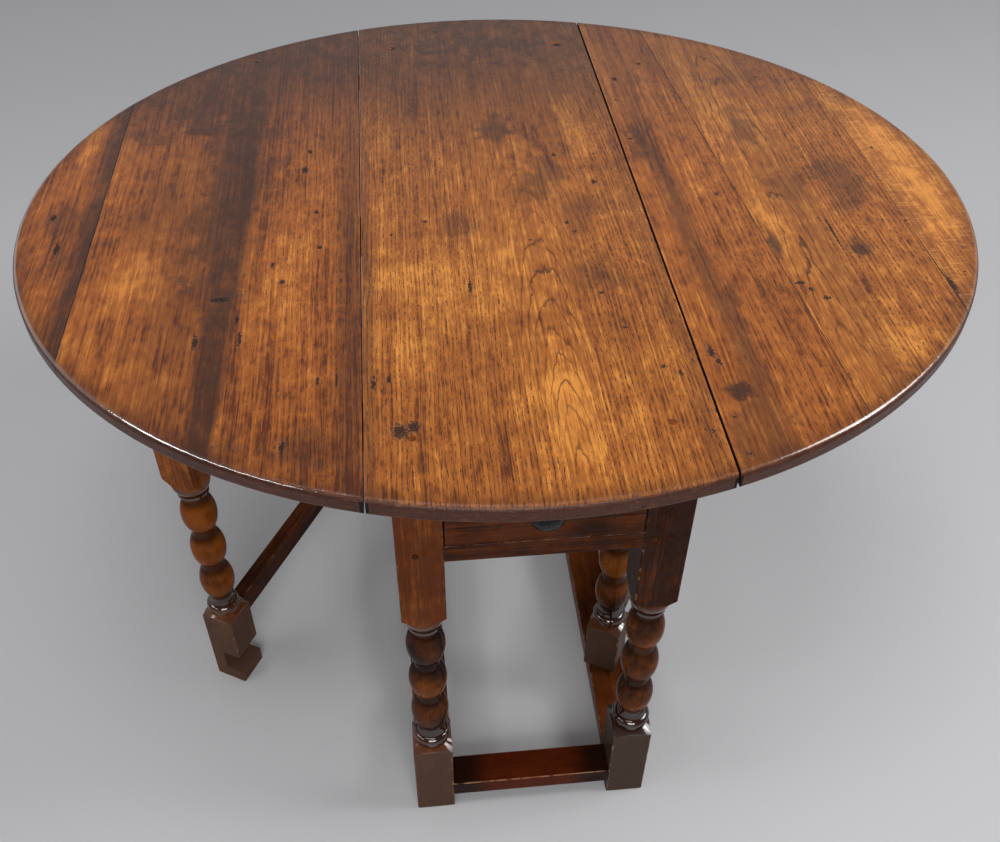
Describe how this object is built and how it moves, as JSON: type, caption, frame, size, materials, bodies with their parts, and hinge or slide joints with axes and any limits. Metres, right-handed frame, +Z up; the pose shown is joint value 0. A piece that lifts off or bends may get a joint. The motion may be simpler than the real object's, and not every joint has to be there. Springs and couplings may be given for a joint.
{
  "type": "gateleg dining table",
  "caption": "Oval oak gateleg dining table: hinged leaves carried on swinging gates, ball-turned legs joined by stretchers, and a drawer with a round knob in one end.",
  "frame": {"origin": "on the floor, under the middle of the oval top", "axes": "+X across the leaves, +Y along the leaf joints away from the drawer, +Z up"},
  "size_m": [1.284, 1.1678, 0.715],
  "materials": {
    "polished_oak_top": "waxed, glossy",
    "dark_oak_frame": "polished dark stain",
    "plain_oak": "bare, aged",
    "oak_pegs": "waxed end grain",
    "wrought_iron": "blackened",
    "ebonised_knob": "glossy black"
  },
  "bodies": {
    "frame": {"back_end_rail": "dark_oak_frame", "centre_board": "polished_oak_top", "drawer_bearer_rail": "dark_oak_frame", "drawer_runner_left": "plain_oak", "drawer_runner_nails": "wrought_iron", "drawer_runner_right": "plain_oak", "end_stretcher_back": "dark_oak_frame", "end_stretcher_front": "dark_oak_frame", "fixed_hinge_nails_left": "wrought_iron", "fixed_hinge_nails_right": "wrought_iron", "fixed_hinge_wings_left": "wrought_iron", "fixed_hinge_wings_right": "wrought_iron", "frame_pegs": "oak_pegs", "hinge_pins_left": "wrought_iron", "hinge_pins_right": "wrought_iron", "leg_back_left": "dark_oak_frame", "leg_back_right": "dark_oak_frame", "leg_front_left": "dark_oak_frame", "leg_front_right": "dark_oak_frame", "side_rail_left": "dark_oak_frame", "side_rail_right": "dark_oak_frame", "side_stretcher_left": "dark_oak_frame", "side_stretcher_right": "dark_oak_frame", "top_pegs": "oak_pegs"},
    "left_leaf": {"leaf_hinge_nails_left": "wrought_iron", "leaf_hinge_wings_left": "wrought_iron", "left_leaf_inner_board": "polished_oak_top", "left_leaf_outer_board": "polished_oak_top"},
    "right_leaf": {"leaf_hinge_nails_right": "wrought_iron", "leaf_hinge_wings_right": "wrought_iron", "right_leaf_inner_board": "polished_oak_top", "right_leaf_middle_board": "polished_oak_top", "right_leaf_outer_board": "polished_oak_top"},
    "left_gate": {"left_gate_leg": "dark_oak_frame", "left_gate_lower_rail": "dark_oak_frame", "left_gate_pegs": "oak_pegs", "left_gate_post": "dark_oak_frame", "left_gate_upper_rail": "dark_oak_frame"},
    "right_gate": {"right_gate_leg": "dark_oak_frame", "right_gate_lower_rail": "dark_oak_frame", "right_gate_pegs": "oak_pegs", "right_gate_post": "dark_oak_frame", "right_gate_upper_rail": "dark_oak_frame"},
    "drawer": {"drawer_back": "plain_oak", "drawer_bottom": "plain_oak", "drawer_front": "dark_oak_frame", "drawer_knob": "ebonised_knob", "drawer_nails": "wrought_iron", "drawer_side_left": "plain_oak", "drawer_side_right": "plain_oak"}
  },
  "joints": [
    {"name": "left_gate_swing", "type": "hinge", "parent": "frame", "child": "left_gate", "pos_m": [-0.14, 0.32, 0.0613], "axis": [0, 0, -1], "range_deg": [-28.5, 12]},
    {"name": "right_gate_swing", "type": "hinge", "parent": "frame", "child": "right_gate", "pos_m": [0.14, -0.32, 0.0613], "axis": [0, 0, -1], "range_deg": [-28.5, 12]},
    {"name": "left_leaf_lift", "type": "hinge", "parent": "frame", "child": "left_leaf", "pos_m": [-0.192, 0, 0.6886], "axis": [0, 1, 0], "range_deg": [0, 3]},
    {"name": "right_leaf_lift", "type": "hinge", "parent": "frame", "child": "right_leaf", "pos_m": [0.192, 0, 0.6886], "axis": [0, -1, 0], "range_deg": [0, 3]},
    {"name": "drawer_slide", "type": "slide", "parent": "frame", "child": "drawer", "axis": [0, -1, 0], "range_m": [0, 0.3]}
  ]
}
